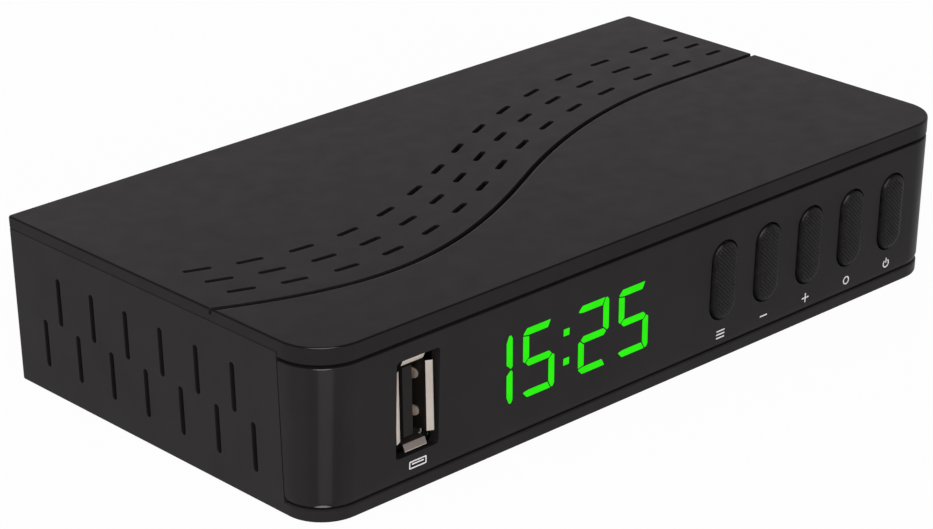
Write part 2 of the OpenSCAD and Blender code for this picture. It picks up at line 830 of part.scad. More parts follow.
module display_segments() {
    color([0.2, 0.9, 0.1]) in_case() on_front()
        translate([0, front_depth - display_t - segment_t, -display_drop]) upright(segment_t) {
            for (d = [0 : 3]) translate([digit_x(d), 0]) digit_2d();
            for (s = [-1, 1]) translate([display_x, s * colon_h]) square(segment_w, center = true);
        }
}

module ir_receiver() {
    color([0.07, 0.06, 0.08]) in_case() on_front() translate([ir_x, front_depth, -ir_drop]) {
        translate([-ir_w / 2, -ir_t, -ir_h / 2]) cube([ir_w, ir_t, ir_h]);
        intersection() {
            translate([0, -ir_t, 0]) sphere(r = ir_lens_r);
            translate([-ir_w / 2, -ir_t - ir_h, -ir_h / 2]) cube([ir_w, ir_h + ir_t / 2, ir_h]);
        }
    }
}

module key_switches() {
    color([0.1, 0.1, 0.1]) in_case() on_front() for (k = [0 : key_count - 1])
        translate([key_x(k), front_depth - switch_t, 0]) difference() {
            translate([-switch_size / 2, 0, -switch_size / 2])
                cube([switch_size, switch_t, switch_size]);
            rod(plunger_r + plunger_fit, -1, plunger_in + key_travel + 0.3);
        }
}

// Key in its slot: rounded face, retaining flange, post onto the switch
module key(k) {
    post_end = front_depth - switch_t - plunger_l;
    color([0.11, 0.11, 0.115]) in_case() on_front() translate([key_x(k), 0, 0]) {
        hull() for (i = [0, 0.7, 1]) let (edge = 2 * key_bevel * (1 - i))
            translate([0, key_bevel * (1 - sqrt(1 - i * i)) - key_proud, 0])
                oblong(key_w - edge, key_h - edge, key_bevel / 4, $fn = 32);
        translate([0, -key_proud + key_bevel, 0])
            oblong(key_w, key_h, wall + key_proud - key_bevel + eps);
        translate([0, wall, 0])
            oblong(key_w + 2 * key_flange, key_h + 2 * key_flange, key_flange_t);
        rod(key_post_r, wall, post_end);
    }
}

module plunger(k) {
    color([0.75, 0.72, 0.66]) in_case() on_front()
        translate([key_x(k), front_depth - switch_t, 0]) rod(plunger_r, -plunger_l, plunger_in);
}

module menu_button() key(0);
module channel_down_button() key(1);
module channel_up_button() key(2);
module ok_button() key(3);
module power_button() key(4);
module menu_plunger() plunger(0);
module channel_down_plunger() plunger(1);
module channel_up_plunger() plunger(2);
module ok_plunger() plunger(3);
module power_plunger() plunger(4);

// Flared lip along one edge of the socket's mouth
module usb_lip(l) {
    translate([0, 0, -l / 2]) linear_extrude(l) polygon([
        [-usb_t, usb_flare_l + usb_t], [0, usb_flare_l + usb_t],
        [usb_flare, usb_t * 0.4], [usb_flare, 0], [usb_flare - usb_t * 0.7, 0],
        [-usb_t, usb_flare_l]]);
}

// Sprung spot on a side of the socket, rising from the mouth inward
module usb_spring() {
    front = usb_spring_in - usb_spring_r;
    back = usb_spring_in + usb_spring_flat;
    intersection() {
        translate([0, usb_spring_in, 0]) rotate([0, 90, 0])
            cylinder(r = usb_spring_r, h = 2 * usb_spring_t, center = true);
        translate([0, 0, -usb_spring_r]) linear_extrude(2 * usb_spring_r)
            polygon([[eps, front], [0, front], [-usb_spring_t, back], [eps, back]]);
    }
}

module usb_shell() {
    color([0.78, 0.76, 0.72]) in_case() translate([usb_x, usb_mouth, usb_z]) {
        difference() {
            translate([0, usb_flare_l, 0]) upright(usb_l - usb_flare_l)
                round_rect_2d(usb_w, usb_h, usb_corner_r);
            upright(usb_l - usb_t) round_rect_2d(usb_w - 2 * usb_t, usb_h - 2 * usb_t, usb_corner_r - usb_t);
            for (i = [-1, 1], j = [-1, 1]) translate([i * usb_w / 2, usb_slit / 2, j * usb_h / 2])
                cube([2 * usb_end_cut, usb_slit, 2 * usb_side_cut], center = true);
        }
        for (s = [0, 1]) mirror([s, 0, 0]) {
            translate([usb_w / 2, 0, 0]) usb_lip(usb_h - 2 * usb_side_cut);
            for (z = [-1, 1]) translate([usb_w / 2 - usb_t, 0, z * usb_spring_z]) usb_spring();
        }
        for (s = [0, 1]) mirror([0, 0, s]) rotate([0, -90, 0])
            translate([usb_h / 2, 0, 0]) usb_lip(usb_w - 2 * usb_end_cut);
    }
}

module usb_tongue() {
    inner = usb_t + seat_gap;
    color([0.2, 0.21, 0.24]) in_case() translate([usb_x, usb_mouth, usb_z]) {
        translate([-usb_w / 2 + inner, usb_block_in, -usb_h / 2 + inner])
            cube([usb_w - 2 * inner, usb_l - usb_t - usb_block_in - seat_gap, usb_h - 2 * inner]);
        translate([usb_tongue_x - usb_tongue_t / 2, usb_tongue_in, -usb_tongue_h / 2])
            cube([usb_tongue_t, usb_block_in - usb_tongue_in + eps, usb_tongue_h]);
    }
}

module usb_contacts() {
    color([0.85, 0.68, 0.3]) in_case() translate([usb_x, usb_mouth, usb_z])
        for (z = contact_z) translate([usb_tongue_x + usb_tongue_t / 2, usb_tongue_in + contact_in,
            z - contact_w / 2]) cube([contact_t, usb_block_in - usb_tongue_in - contact_in, contact_w]);
}

module tuner_can() {
    color([0.72, 0.73, 0.75]) in_case() translate([tuner_x, aerial_root - tuner_d / 2, board_top])
        difference() {
            block([tuner_w, tuner_d, tuner_h]);
            for (i = [-1, 0, 1]) translate([i * tuner_w / 4, 0, tuner_h - tuner_dimple])
                cylinder(r = tuner_dimple_r, h = 1);
        }
}

module aerial_in_shell() {
    color([0.7, 0.71, 0.73]) in_case()
        translate([tuner_x - aerial_pitch / 2, aerial_root, aerial_z]) difference() {
            rod(aerial_in_r, 0, aerial_end - aerial_root);
            rod(aerial_in_bore, aerial_flange_t, aerial_end - aerial_root + 1);
        }
}

module aerial_in_core() {
    color([0.85, 0.85, 0.8]) in_case()
        translate([tuner_x - aerial_pitch / 2, aerial_root + aerial_flange_t, aerial_z])
            difference() {
                union() {
                    rod(aerial_in_bore - seat_gap, 0, aerial_disc_t);
                    rod(aerial_tube_r, 0, aerial_end - aerial_root - aerial_flange_t
                        - aerial_core_back);
                }
                rod(aerial_pin_r + 0.06, aerial_disc_t, far);
            }
}

module aerial_out_shell() {
    color([0.7, 0.71, 0.73]) in_case()
        translate([tuner_x + aerial_pitch / 2, aerial_root, aerial_z]) difference() {
            union() {
                rod(aerial_in_r, 0, aerial_flange_t + rear_t);
                rod(aerial_out_r, 0, aerial_end - aerial_root);
            }
            rod(aerial_out_bore, aerial_flange_t, aerial_end - aerial_root + 1);
        }
}

module aerial_out_pin() {
    color([0.85, 0.85, 0.8]) in_case()
        translate([tuner_x + aerial_pitch / 2, aerial_root + aerial_flange_t, aerial_z]) {
            rod(aerial_out_bore - seat_gap, 0, aerial_disc_t);
            rod(aerial_pin_r, 0, aerial_end - aerial_root - aerial_flange_t);
        }
}

module hdmi_2d(grow) {
    w = hdmi_w / 2 + grow;
    h = hdmi_h / 2 + grow;
    b = hdmi_bevel;
    low = -h + hdmi_step;
    polygon([[-w, h], [-w, low + b], [-w + b, low], [-w + b, -h], [w - b, -h], [w - b, low],
        [w, low + b], [w, h]]);
}

module hdmi_shell() {
    color([0.75, 0.75, 0.76]) in_case()
        translate([hdmi_x, socket_face - hdmi_l, board_top + hdmi_h / 2]) difference() {
            upright(hdmi_l) hdmi_2d(0);
            translate([0, hdmi_t, 0]) upright(hdmi_l) hdmi_2d(-hdmi_t);
        }
}

module hdmi_tongue() {
    color([0.06, 0.06, 0.06]) in_case()
        translate([hdmi_x, socket_face - hdmi_l + hdmi_t + seat_gap, board_top + hdmi_h / 2]) {
            upright(hdmi_block_l) hdmi_2d(-hdmi_t - seat_gap);
            translate([-hdmi_tongue_w / 2, 0, -hdmi_tongue_t / 2 + hdmi_tongue_lift])
                cube([hdmi_tongue_w, hdmi_l - hdmi_t - hdmi_tongue_in, hdmi_tongue_t]);
        }
}

module av_jack() {
    color([0.07, 0.07, 0.08]) in_case() translate([av_x, 0, board_top]) difference() {
        union() {
            translate([0, rear_inside - seat_gap - av_l / 2, 0]) block([av_w, av_l, av_h]);
            translate([0, 0, av_h / 2]) rod(av_nose_r, rear_inside - 1, socket_face);
        }
        translate([0, 0, av_h / 2]) rod(av_bore_r, rear_inside - av_l + av_stop, socket_face + 1);
    }
}

module dc_jack() {
    color([0.07, 0.07, 0.08]) in_case() translate([dc_x, 0, board_top]) difference() {
        union() {
            translate([0, rear_inside - seat_gap - dc_l / 2, 0]) block([dc_w, dc_l, dc_h]);
            translate([0, 0, dc_z]) rod(dc_nose_r, rear_inside - 1, socket_face);
        }
        translate([0, 0, dc_z]) rod(dc_bore_r, socket_face - dc_bore_l, socket_face + 1);
    }
}

module dc_pin() {
    color([0.8, 0.8, 0.82]) in_case() translate([dc_x, 0, board_top + dc_z])
        rod(dc_pin_r, socket_face - dc_bore_l, socket_face - 0.5);
}

module processor() {
    color([0.06, 0.06, 0.07]) in_case() translate([chip_x, chip_y, board_top])
        block([chip_s, chip_s, chip_h]);
}

module heatsink() {
    step = (sink_s - sink_fin_t) / (sink_fins - 1);
    color([0.25, 0.25, 0.27]) in_case() translate([chip_x, chip_y, board_top + chip_h]) {
        block([sink_s, sink_s, sink_base]);
        for (i = [0 : sink_fins - 1])
            translate([-sink_s / 2 + i * step, -sink_s / 2, sink_base - eps])
                cube([sink_fin_t, sink_s, sink_fin_h]);
    }
}

module memory_chip() {
    color([0.06, 0.06, 0.07]) in_case() translate([memory_at.x, memory_at.y, board_top])
        block(memory_size);
}

module flash_chip() {
    color([0.06, 0.06, 0.07]) in_case() translate([flash_at.x, flash_at.y, board_top])
        block(flash_size);
}

module crystal() {
    color([0.75, 0.75, 0.76]) in_case() translate([crystal_at.x, crystal_at.y, board_top])
        linear_extrude(crystal_h) slot_2d(crystal_l, crystal_w);
}

// Can with a crimp near its foot
module can_capacitor(r, h) {
    rotate_extrude() polygon([[0, 0], [r, 0], [r, cap_crimp_z - cap_edge], [r - cap_crimp, cap_crimp_z],
        [r, cap_crimp_z + cap_edge], [r, h - cap_edge], [r - cap_edge, h], [0, h]]);
}

module capacitors() {
    color([0.12, 0.14, 0.3]) in_case() {
        for (p = cap_small_at) translate([p.x, p.y, board_top]) can_capacitor(cap_small_r, cap_small_h);
        for (p = cap_big_at) translate([p.x, p.y, board_top]) can_capacitor(cap_big_r, cap_big_h);
    }
}

module choke() {
    color([0.2, 0.2, 0.2]) in_case() translate([choke_at.x, choke_at.y, board_top]) {
        block([choke_s, choke_s, choke_plate]);
        cylinder(r = choke_r, h = choke_h);
        translate([0, 0, choke_h - choke_plate]) block([choke_s, choke_s, choke_plate]);
    }
}

lid();
base_tray();
front_panel();
rear_panel();
rubber_feet();
case_screws();
main_board();
board_screws();
front_board();
front_board_screws();
board_header();
display_body();
display_segments();
ir_receiver();
key_switches();
menu_button();
channel_down_button();
channel_up_button();
ok_button();
power_button();
menu_plunger();
channel_down_plunger();
channel_up_plunger();
ok_plunger();
power_plunger();
usb_shell();
usb_tongue();
usb_contacts();
tuner_can();
aerial_in_shell();
aerial_in_core();
aerial_out_shell();
aerial_out_pin();
hdmi_shell();
hdmi_tongue();
av_jack();
dc_jack();
dc_pin();
processor();
heatsink();
memory_chip();
flash_chip();
crystal();
capacitors();
choke();
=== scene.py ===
import json
import math

import bpy
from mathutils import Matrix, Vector


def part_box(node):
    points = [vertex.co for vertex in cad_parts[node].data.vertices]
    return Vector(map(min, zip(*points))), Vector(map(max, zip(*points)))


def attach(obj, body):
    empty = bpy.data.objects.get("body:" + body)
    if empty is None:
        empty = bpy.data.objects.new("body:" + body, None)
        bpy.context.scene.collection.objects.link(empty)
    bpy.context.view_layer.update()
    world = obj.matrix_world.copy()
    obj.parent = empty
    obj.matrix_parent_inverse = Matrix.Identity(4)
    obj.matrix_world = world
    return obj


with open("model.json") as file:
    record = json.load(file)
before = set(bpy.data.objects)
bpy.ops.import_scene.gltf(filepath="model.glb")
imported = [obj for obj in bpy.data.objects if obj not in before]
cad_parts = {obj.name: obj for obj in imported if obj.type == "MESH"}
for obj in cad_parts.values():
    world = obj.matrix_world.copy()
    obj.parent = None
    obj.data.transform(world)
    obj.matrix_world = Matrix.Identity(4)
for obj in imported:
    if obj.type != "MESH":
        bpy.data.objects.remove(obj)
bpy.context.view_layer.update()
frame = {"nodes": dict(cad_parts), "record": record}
nodes = frame["nodes"]
scene = bpy.context.scene
scene.view_settings.view_transform = "Standard"
mm = 0.001
print("frame loaded:", len(nodes), "nodes")

cameraSet = {
    "place": (-0.31193, -0.33688, 0.20489),
    "turn": (66.967, 0.789, -42.964),
    "lens": 116.96,
    "sensor": 36,
    "clip": (0.01, 50),
}


def addCamera():
    data = bpy.data.cameras.new("photoCamera")
    data.lens = cameraSet["lens"]
    data.sensor_width = cameraSet["sensor"]
    data.clip_start, data.clip_end = cameraSet["clip"]
    camera = bpy.data.objects.new("photoCamera", data)
    camera.location = cameraSet["place"]
    camera.rotation_euler = [math.radians(a) for a in cameraSet["turn"]]
    scene.collection.objects.link(camera)
    scene.camera = camera


addCamera()
print("camera placed")


# Small helpers for node trees
def newNode(tree, kind, **values):
    node = tree.nodes.new(kind)
    for key, value in values.items():
        setattr(node, key, value)
    return node


def setSockets(node, **values):
    for key, value in values.items():
        node.inputs[key.replace("_", " ")].default_value = value


def startMaterial(name, **sockets):
    material = bpy.data.materials.new(name)
    material.use_nodes = True
    tree = material.node_tree
    shader = tree.nodes["Principled BSDF"]
    setSockets(shader, **sockets)
    coords = newNode(tree, "ShaderNodeTexCoord")
    return material, tree, shader, coords.outputs["Object"]


# Detail and roughness of each kind of noise
noiseKinds = {"stain": (4.0, 0.6), "grain": (3.0, 0.6), "cloud": (3.0, 0.5), "soft": (2.0, 0.5)}
noiseSpan = (0.3, 0.7)  # part of a noise that goes from the low value to the high one


def addNoise(tree, coords, scale, kind):
    detail, rough = noiseKinds[kind]
    noise = newNode(tree, "ShaderNodeTexNoise")
    setSockets(noise, Scale=scale, Detail=detail, Roughness=rough)
    tree.links.new(coords, noise.inputs["Vector"])
    return noise.outputs["Fac"]


def addRamp(tree, factor, stops):
    ramp = newNode(tree, "ShaderNodeValToRGB")
    elements = ramp.color_ramp.elements
    while len(elements) < len(stops):
        elements.new(0.5)
    for element, (place, colour) in zip(elements, stops):
        element.position = place
        element.color = (*colour, 1)
    tree.links.new(factor, ramp.inputs["Fac"])
    return ramp.outputs["Color"]


def addTones(tree, factor, low, high, span=noiseSpan):
    return addRamp(tree, factor, list(zip(span, (low, high))))


def addRange(tree, factor, low, high, span=noiseSpan):
    spread = newNode(tree, "ShaderNodeMapRange")
    setSockets(spread, From_Min=span[0], From_Max=span[1], To_Min=low, To_Max=high)
    tree.links.new(factor, spread.inputs["Value"])
    return spread.outputs["Result"]


def addBump(tree, shader, height, strength, distance):
    bump = newNode(tree, "ShaderNodeBump")
    setSockets(bump, Strength=strength, Distance=distance)
    tree.links.new(height, bump.inputs["Height"])
    tree.links.new(bump.outputs["Normal"], shader.inputs["Normal"])


def tones(colour, spread):
    return [tuple(c * k for c in colour) for k in (1 - spread, 1 + spread)]


def scaleColour(tree, colour, factor, stops):
    level = addRamp(tree, factor, [(place, (k, k, k)) for place, k in stops])
    mix = newNode(tree, "ShaderNodeMix", data_type="RGBA", blend_type="MULTIPLY")
    mix.inputs["Factor"].default_value = 1.0
    tree.links.new(colour, mix.inputs["A"])
    tree.links.new(level, mix.inputs["B"])
    return mix.outputs["Result"]


# Painted light and shade: lightens or darkens a colour where the surface faces along an axis
def paintLightByFacing(tree, colour, axis, stops, bothSides):
    normal = newNode(tree, "ShaderNodeTexCoord").outputs["Normal"]
    along = newNode(tree, "ShaderNodeVectorMath", operation="DOT_PRODUCT")
    along.inputs[1].default_value = axis
    if bothSides:
        folded = newNode(tree, "ShaderNodeVectorMath", operation="ABSOLUTE")
        tree.links.new(normal, folded.inputs[0])
        normal = folded.outputs["Vector"]
    tree.links.new(normal, along.inputs[0])
    return scaleColour(tree, colour, along.outputs["Value"], stops)


# Painted highlights, glints and shade set by the way the surface faces: the mirrored list acts on
# every side, the one-sided list on one side only
def paintFacingLight(tree, colour, look):
    for axis, stops in look.get("paintedLightMirrored", []):
        colour = paintLightByFacing(tree, colour, axis, stops, True)
    for axis, stops in look.get("paintedLightOneSided", []):
        colour = paintLightByFacing(tree, colour, axis, stops, False)
    return colour


# Painted light and shade on the hatch: ridges lighter and the valleys between them darker
def paintLightByRidge(tree, colour, stops):
    ridge = newNode(tree, "ShaderNodeAttribute", attribute_name="ridge")
    return scaleColour(tree, colour, ridge.outputs["Fac"], stops)


# Spark-eroded moulded plastic: fine grain, faint mottling, uneven sheen
def mouldedPlastic(name, look):
    material, tree, shader, coords = startMaterial(name, IOR=look["ior"],
                                                   Specular_IOR_Level=look["shine"])
    mottle = addNoise(tree, coords, look["mottleScale"], "stain")
    colour = addTones(tree, mottle, *tones(look["colour"], look["mottle"]))
    # painted highlights, glints and shade where the look asks for them
    colour = paintFacingLight(tree, colour, look)
    if "ridge" in look:
        colour = paintLightByRidge(tree, colour, look["ridge"])
    tree.links.new(colour, shader.inputs["Base Color"])
    sheen = addNoise(tree, coords, look["mottleScale"] * look["sheenFiner"], "cloud")
    tree.links.new(addRange(tree, sheen, *look["rough"]), shader.inputs["Roughness"])
    grain = addNoise(tree, coords, look["grainScale"], "grain")
    addBump(tree, shader, grain, look["grain"], look["grainDepth"])
    return material


# Lid, tray, panel and back are one charcoal plastic; their tones differ as painted shade on the lid
# and painted light on the tray and panel walls, the back in between
lidLook = {"colour": (0.0113, 0.0109, 0.0111), "ior": 1.5, "shine": 0.05, "rough": (0.38, 0.44),
           "mottle": 0.10, "mottleScale": 90, "sheenFiner": 3,
           "grainScale": 3200, "grain": 0.35, "grainDepth": 0.00002,
           # Painted shade: a dark line along the rounded edges; painted glint on the rounded edge
           # at the front corners
           "paintedLightMirrored": [((0, 0, 1), [(0.1, 1), (0.25, 0.45), (0.9, 0.45), (0.98, 1)]),
                      ((0.488, 0.561, 0.669), [(0.965, 1), (0.992, 20)])]}
trayLook = {**lidLook, "colour": (0.0147, 0.0141, 0.0144), "paintedLightMirrored": []}
panelLook = {**trayLook, "colour": (0.0134, 0.0128, 0.0131), "rough": (0.34, 0.40), "grain": 0.25,
             # Painted highlight: a lighter streak down the middle of each front corner, with
             # painted shade on both sides of it; painted glint on the top edge at the corners
             "paintedLightMirrored": [((0.616, 0.788, 0.0),
                         [(0.91, 1), (0.955, 0.87), (0.984, 0.87), (0.9945, 1.5)]),
                        ((0.608, 0.700, 0.375), [(0.98, 1), (0.995, 14)])]}
rearLook = {**trayLook, "colour": (0.0123, 0.0119, 0.0121)}
# Axis of a painted glint on each key's upper left shoulder
keyShoulderGlint = (-0.5, -0.707, 0.5)
keyLook = {**trayLook, "colour": (0.0084, 0.0081, 0.0082), "rough": (0.33, 0.40),
           "mottle": 0.45, "mottleScale": 900,
           # Painted glint on the upper left shoulder; painted shade on faces that look down
           "paintedLightOneSided": [(keyShoulderGlint, [(0.88, 1), (0.96, 8)]),
                        ((0, 0, -1), [(0.0, 1), (0.05, 0.7), (0.4, 0.5)])]}
# Painted light on the hatch ridges and painted shade in its valleys; painted glint on the upper
# left shoulder
gripLook = {**keyLook, "mottle": 0.7, "mottleScale": 3000, "ridge": [(0.1, 0.55), (0.9, 1.45)],
            "paintedLightOneSided": [(keyShoulderGlint, [(0.88, 1), (0.96, 4)])]}
connectorLook = {**trayLook, "colour": (0.012, 0.012, 0.013), "shine": 0.4,
                 "rough": (0.38, 0.46), "grain": 0.15}
tongueLook = {**connectorLook, "colour": (0.0125, 0.0120, 0.0112), "shine": 0.05}
plungerLook = {**trayLook, "colour": (0.52, 0.48, 0.40), "shine": 0.4, "rough": (0.40, 0.50),
               "mottle": 0.05, "grain": 0.15}
displayLook = {**trayLook, "colour": (0.24, 0.24, 0.23), "shine": 0.4, "rough": (0.45, 0.55),
               "mottle": 0.06}
rubberLook = {**trayLook, "colour": (0.016, 0.016, 0.016), "shine": 0.25, "rough": (0.75, 0.88),
              "mottle": 0.25, "mottleScale": 500, "grain": 0.6}
dielectricLook = {**trayLook, "colour": (0.72, 0.71, 0.66), "shine": 0.45, "rough": (0.38, 0.46),
                  "mottle": 0.04, "grain": 0.1}
epoxyLook = {**trayLook, "colour": (0.022, 0.022, 0.024), "shine": 0.35, "rough": (0.55, 0.68),
             "mottle": 0.3, "mottleScale": 1500, "grain": 0.5}


# Plated metal with a drawn grain
def platedMetal(name, look):
    material, tree, shader, coords = startMaterial(name, Metallic=1.0)
    stain = addNoise(tree, coords, look["stainScale"], "stain")
    colour = addTones(tree, stain, *tones(look["colour"], look["stain"]))
    # painted highlights and shade where the look asks for them
    tree.links.new(paintFacingLight(tree, colour, look), shader.inputs["Base Color"])
    stretch = newNode(tree, "ShaderNodeMapping")
    stretch.inputs["Scale"].default_value = look["grainStretch"]
    tree.links.new(coords, stretch.inputs["Vector"])
    grain = addNoise(tree, stretch.outputs["Vector"], look["grainScale"], "grain")
    tree.links.new(addRange(tree, grain, *look["rough"]), shader.inputs["Roughness"])
    addBump(tree, shader, grain, look["grain"], look["grainDepth"])
    return material


tinLook = {"colour": (0.60, 0.555, 0.51), "stain": 0.06, "stainScale": 300, "rough": (0.40, 0.52),
           "grainScale": 900, "grainStretch": (1, 1, 0.15), "grain": 0.15, "grainDepth": 0.00002}
# Painted light and shade on the socket shell: spring tabs lighter and side walls darker inside,
# upward faces darker, and lips that face the front painted lighter as highlights
usbLook = {**tinLook, "colour": (0.46, 0.415, 0.37),
           "paintedLightMirrored": [((1, 0, 0), [(0.6, 1), (0.8, 2.0), (0.94, 2.0), (0.985, 0.25)])],
           "paintedLightOneSided": [((0, 0, 1), [(0.08, 1), (0.25, 0.38)]),
                        ((0.462, -0.887, 0.0), [(0.97, 1), (0.99, 1.6)]),
                        ((0.0, -0.887, -0.462), [(0.97, 1), (0.99, 1.5)])]}
zincLook = {**tinLook, "colour": (0.62, 0.62, 0.63), "rough": (0.30, 0.42)}
goldLook = {**tinLook, "colour": (0.83, 0.60, 0.25), "stain": 0.05, "rough": (0.22, 0.32)}
sinkLook = {**tinLook, "colour": (0.16, 0.16, 0.17), "stain": 0.12, "rough": (0.42, 0.52)}
sleeveLook = {**tinLook, "colour": (0.20, 0.21, 0.24), "stain": 0.15, "rough": (0.34, 0.44),
              "grainStretch": (1, 1, 1)}

boardLook = {"mask": (0.0015, 0.0055, 0.003), "patch": 1.15, "track": (0.004, 0.013, 0.007),
             "trackScale": 420, "trackWide": 0.018, "fieldLong": 1.7, "fieldTall": 0.32,
             "dot": (0.55, 0.50, 0.38), "dotScale": 260, "dotScatter": 0.7,
             "dotEdge": (0.055, 0.07), "rough": (0.28, 0.40), "sheenScale": 200,
             "relief": 0.3, "reliefDepth": 0.00003}


# Solder mask over copper tracks, with tinned dots
def circuitBoard(name, look):
    material, tree, shader, coords = startMaterial(name)
    patch = [c * look["patch"] for c in look["mask"]]
    tracks = newNode(tree, "ShaderNodeTexBrick")
    setSockets(tracks, Scale=look["trackScale"], Mortar_Size=look["trackWide"],
               Brick_Width=look["fieldLong"], Row_Height=look["fieldTall"],
               Color1=(*look["mask"], 1), Color2=(*patch, 1), Mortar=(*look["track"], 1))
    tree.links.new(coords, tracks.inputs["Vector"])
    dots = newNode(tree, "ShaderNodeTexVoronoi")
    setSockets(dots, Scale=look["dotScale"], Randomness=look["dotScatter"])
    tree.links.new(coords, dots.inputs["Vector"])
    dotMask = addRange(tree, dots.outputs["Distance"], 1, 0, look["dotEdge"])
    mix = newNode(tree, "ShaderNodeMix", data_type="RGBA")
    tree.links.new(dotMask, mix.inputs["Factor"])
    tree.links.new(tracks.outputs["Color"], mix.inputs["A"])
    mix.inputs["B"].default_value = (*look["dot"], 1)
    tree.links.new(mix.outputs["Result"], shader.inputs["Base Color"])
    sheen = addNoise(tree, coords, look["sheenScale"], "soft")
    tree.links.new(addRange(tree, sheen, *look["rough"]), shader.inputs["Roughness"])
    addBump(tree, shader, tracks.outputs["Fac"], look["relief"], look["reliefDepth"])
    return material


irLook = {"colour": (0.012, 0.006, 0.012), "ior": 1.55, "rough": (0.08, 0.16),
          "cloud": 0.3, "cloudScale": 700}


# Dark clear epoxy of the remote-control eye
def darkEpoxy(name, look):
    material, tree, shader, coords = startMaterial(name, IOR=look["ior"])
    cloud = addNoise(tree, coords, look["cloudScale"], "cloud")
    colour = addTones(tree, cloud, *tones(look["colour"], look["cloud"]))
    tree.links.new(colour, shader.inputs["Base Color"])
    tree.links.new(addRange(tree, cloud, *look["rough"]), shader.inputs["Roughness"])
    return material


lightLook = {"colour": (0.030, 0.895, 0.008), "strength": 1.0, "body": (0.0, 0.004, 0.0),
             "rough": 0.4, "uneven": 0.10, "unevenScale": 260, "unevenSpan": (0.25, 0.6)}


# Backlit segment, a little uneven as real ones are
def litSegment(name, look):
    material, tree, shader, coords = startMaterial(
        name, Roughness=look["rough"], Base_Color=(*look["body"], 1), Specular_IOR_Level=0.0,
        Emission_Strength=look["strength"])
    cloud = addNoise(tree, coords, look["unevenScale"], "soft")
    dim = tones(look["colour"], look["uneven"])[0]
    glow = addTones(tree, cloud, dim, look["colour"], look["unevenSpan"])
    tree.links.new(glow, shader.inputs["Emission Color"])
    return material


inkLook = {"colour": (0.62, 0.62, 0.62), "rough": (0.45, 0.6),
           "thin": 0.12, "thinScale": 2600, "thinSpan": (0.35, 0.6)}


# Pad-printed ink, thinner here and there
def printInk(name, look):
    material, tree, shader, coords = startMaterial(name)
    cover = addNoise(tree, coords, look["thinScale"], "cloud")
    thin = tones(look["colour"], look["thin"])[0]
    colour = addTones(tree, cover, thin, look["colour"], look["thinSpan"])
    tree.links.new(colour, shader.inputs["Base Color"])
    tree.links.new(addRange(tree, cover, *look["rough"]), shader.inputs["Roughness"])
    return material


lidPlastic = mouldedPlastic("lidPlastic", lidLook)
trayPlastic = mouldedPlastic("trayPlastic", trayLook)
panelPlastic = mouldedPlastic("panelPlastic", panelLook)
rearPlastic = mouldedPlastic("rearPlastic", rearLook)
keyPlastic = mouldedPlastic("keyPlastic", keyLook)
gripPlastic = mouldedPlastic("gripPlastic", gripLook)
segmentGlow = litSegment("segmentGlow", lightLook)
whiteInk = printInk("whiteInk", inkLook)
slotFinish = {
    "case_plastic": trayPlastic,
    "key_plastic": keyPlastic,
    "foot_rubber": mouldedPlastic("footRubber", rubberLook),
    "screw_steel": platedMetal("screwZinc", zincLook),
    "board_laminate": circuitBoard("boardMask", boardLook),
    "socket_steel": platedMetal("tinPlate", tinLook),
    "black_plastic": mouldedPlastic("connectorPlastic", connectorLook),
    "chip_epoxy": mouldedPlastic("chipEpoxy", epoxyLook),
    "plunger_plastic": mouldedPlastic("plungerPlastic", plungerLook),
    "display_plastic": mouldedPlastic("displayPlastic", displayLook),
    "display_light": segmentGlow,
    "ir_epoxy": darkEpoxy("irEpoxy", irLook),
    "contact_brass": platedMetal("goldFlash", goldLook),
    "dielectric": mouldedPlastic("dielectric", dielectricLook),
    "sink_aluminium": platedMetal("sinkAluminium", sinkLook),
    "capacitor_sleeve": platedMetal("capacitorSleeve", sleeveLook),
}
nodeFinish = {"lid": lidPlastic, "front_panel": panelPlastic, "rear_panel": rearPlastic,
              "usb_shell": platedMetal("usbTin", usbLook),
              "usb_tongue": mouldedPlastic("tonguePlastic", tongueLook)}
print("materials made:", len(bpy.data.materials))

edges = {"sharpAbove": 33, "weld": 0.000001, "flatWeight": 100}


# Joins split vertices and keeps only real corners sharp
def makeSoftEdges():
    tree = bpy.data.node_groups.new("softEdges", "GeometryNodeTree")
    tree.interface.new_socket("Geometry", in_out="INPUT", socket_type="NodeSocketGeometry")
    tree.interface.new_socket("Geometry", in_out="OUTPUT", socket_type="NodeSocketGeometry")
    start = newNode(tree, "NodeGroupInput")
    end = newNode(tree, "NodeGroupOutput")
    merge = newNode(tree, "GeometryNodeMergeByDistance")
    merge.inputs["Distance"].default_value = edges["weld"]
    smooth = newNode(tree, "GeometryNodeSetShadeSmooth", domain="FACE")
    smoothEdge = newNode(tree, "GeometryNodeSetShadeSmooth", domain="EDGE")
    angle = newNode(tree, "GeometryNodeInputMeshEdgeAngle")
    below = newNode(tree, "FunctionNodeCompare", data_type="FLOAT", operation="LESS_THAN")
    below.inputs["B"].default_value = math.radians(edges["sharpAbove"])
    tree.links.new(start.outputs[0], merge.inputs["Geometry"])
    tree.links.new(merge.outputs["Geometry"], smooth.inputs["Geometry"])
    tree.links.new(smooth.outputs["Geometry"], smoothEdge.inputs["Geometry"])
    tree.links.new(angle.outputs["Unsigned Angle"], below.inputs["A"])
    tree.links.new(below.outputs["Result"], smoothEdge.inputs["Shade Smooth"])
    tree.links.new(smoothEdge.outputs["Geometry"], end.inputs[0])
    return tree


softEdges = makeSoftEdges()


def dressNode(name, finish):
    piece = nodes[name]
    piece.data.materials.clear()
    piece.data.materials.append(finish)
    normals = piece.data.attributes.get("custom_normal")
    if normals:
        piece.data.attributes.remove(normals)
    piece.modifiers.new("softEdges", "NODES").node_group = softEdges
    weight = piece.modifiers.new("flatFaces", "WEIGHTED_NORMAL")
    weight.weight = edges["flatWeight"]
    weight.keep_sharp = True


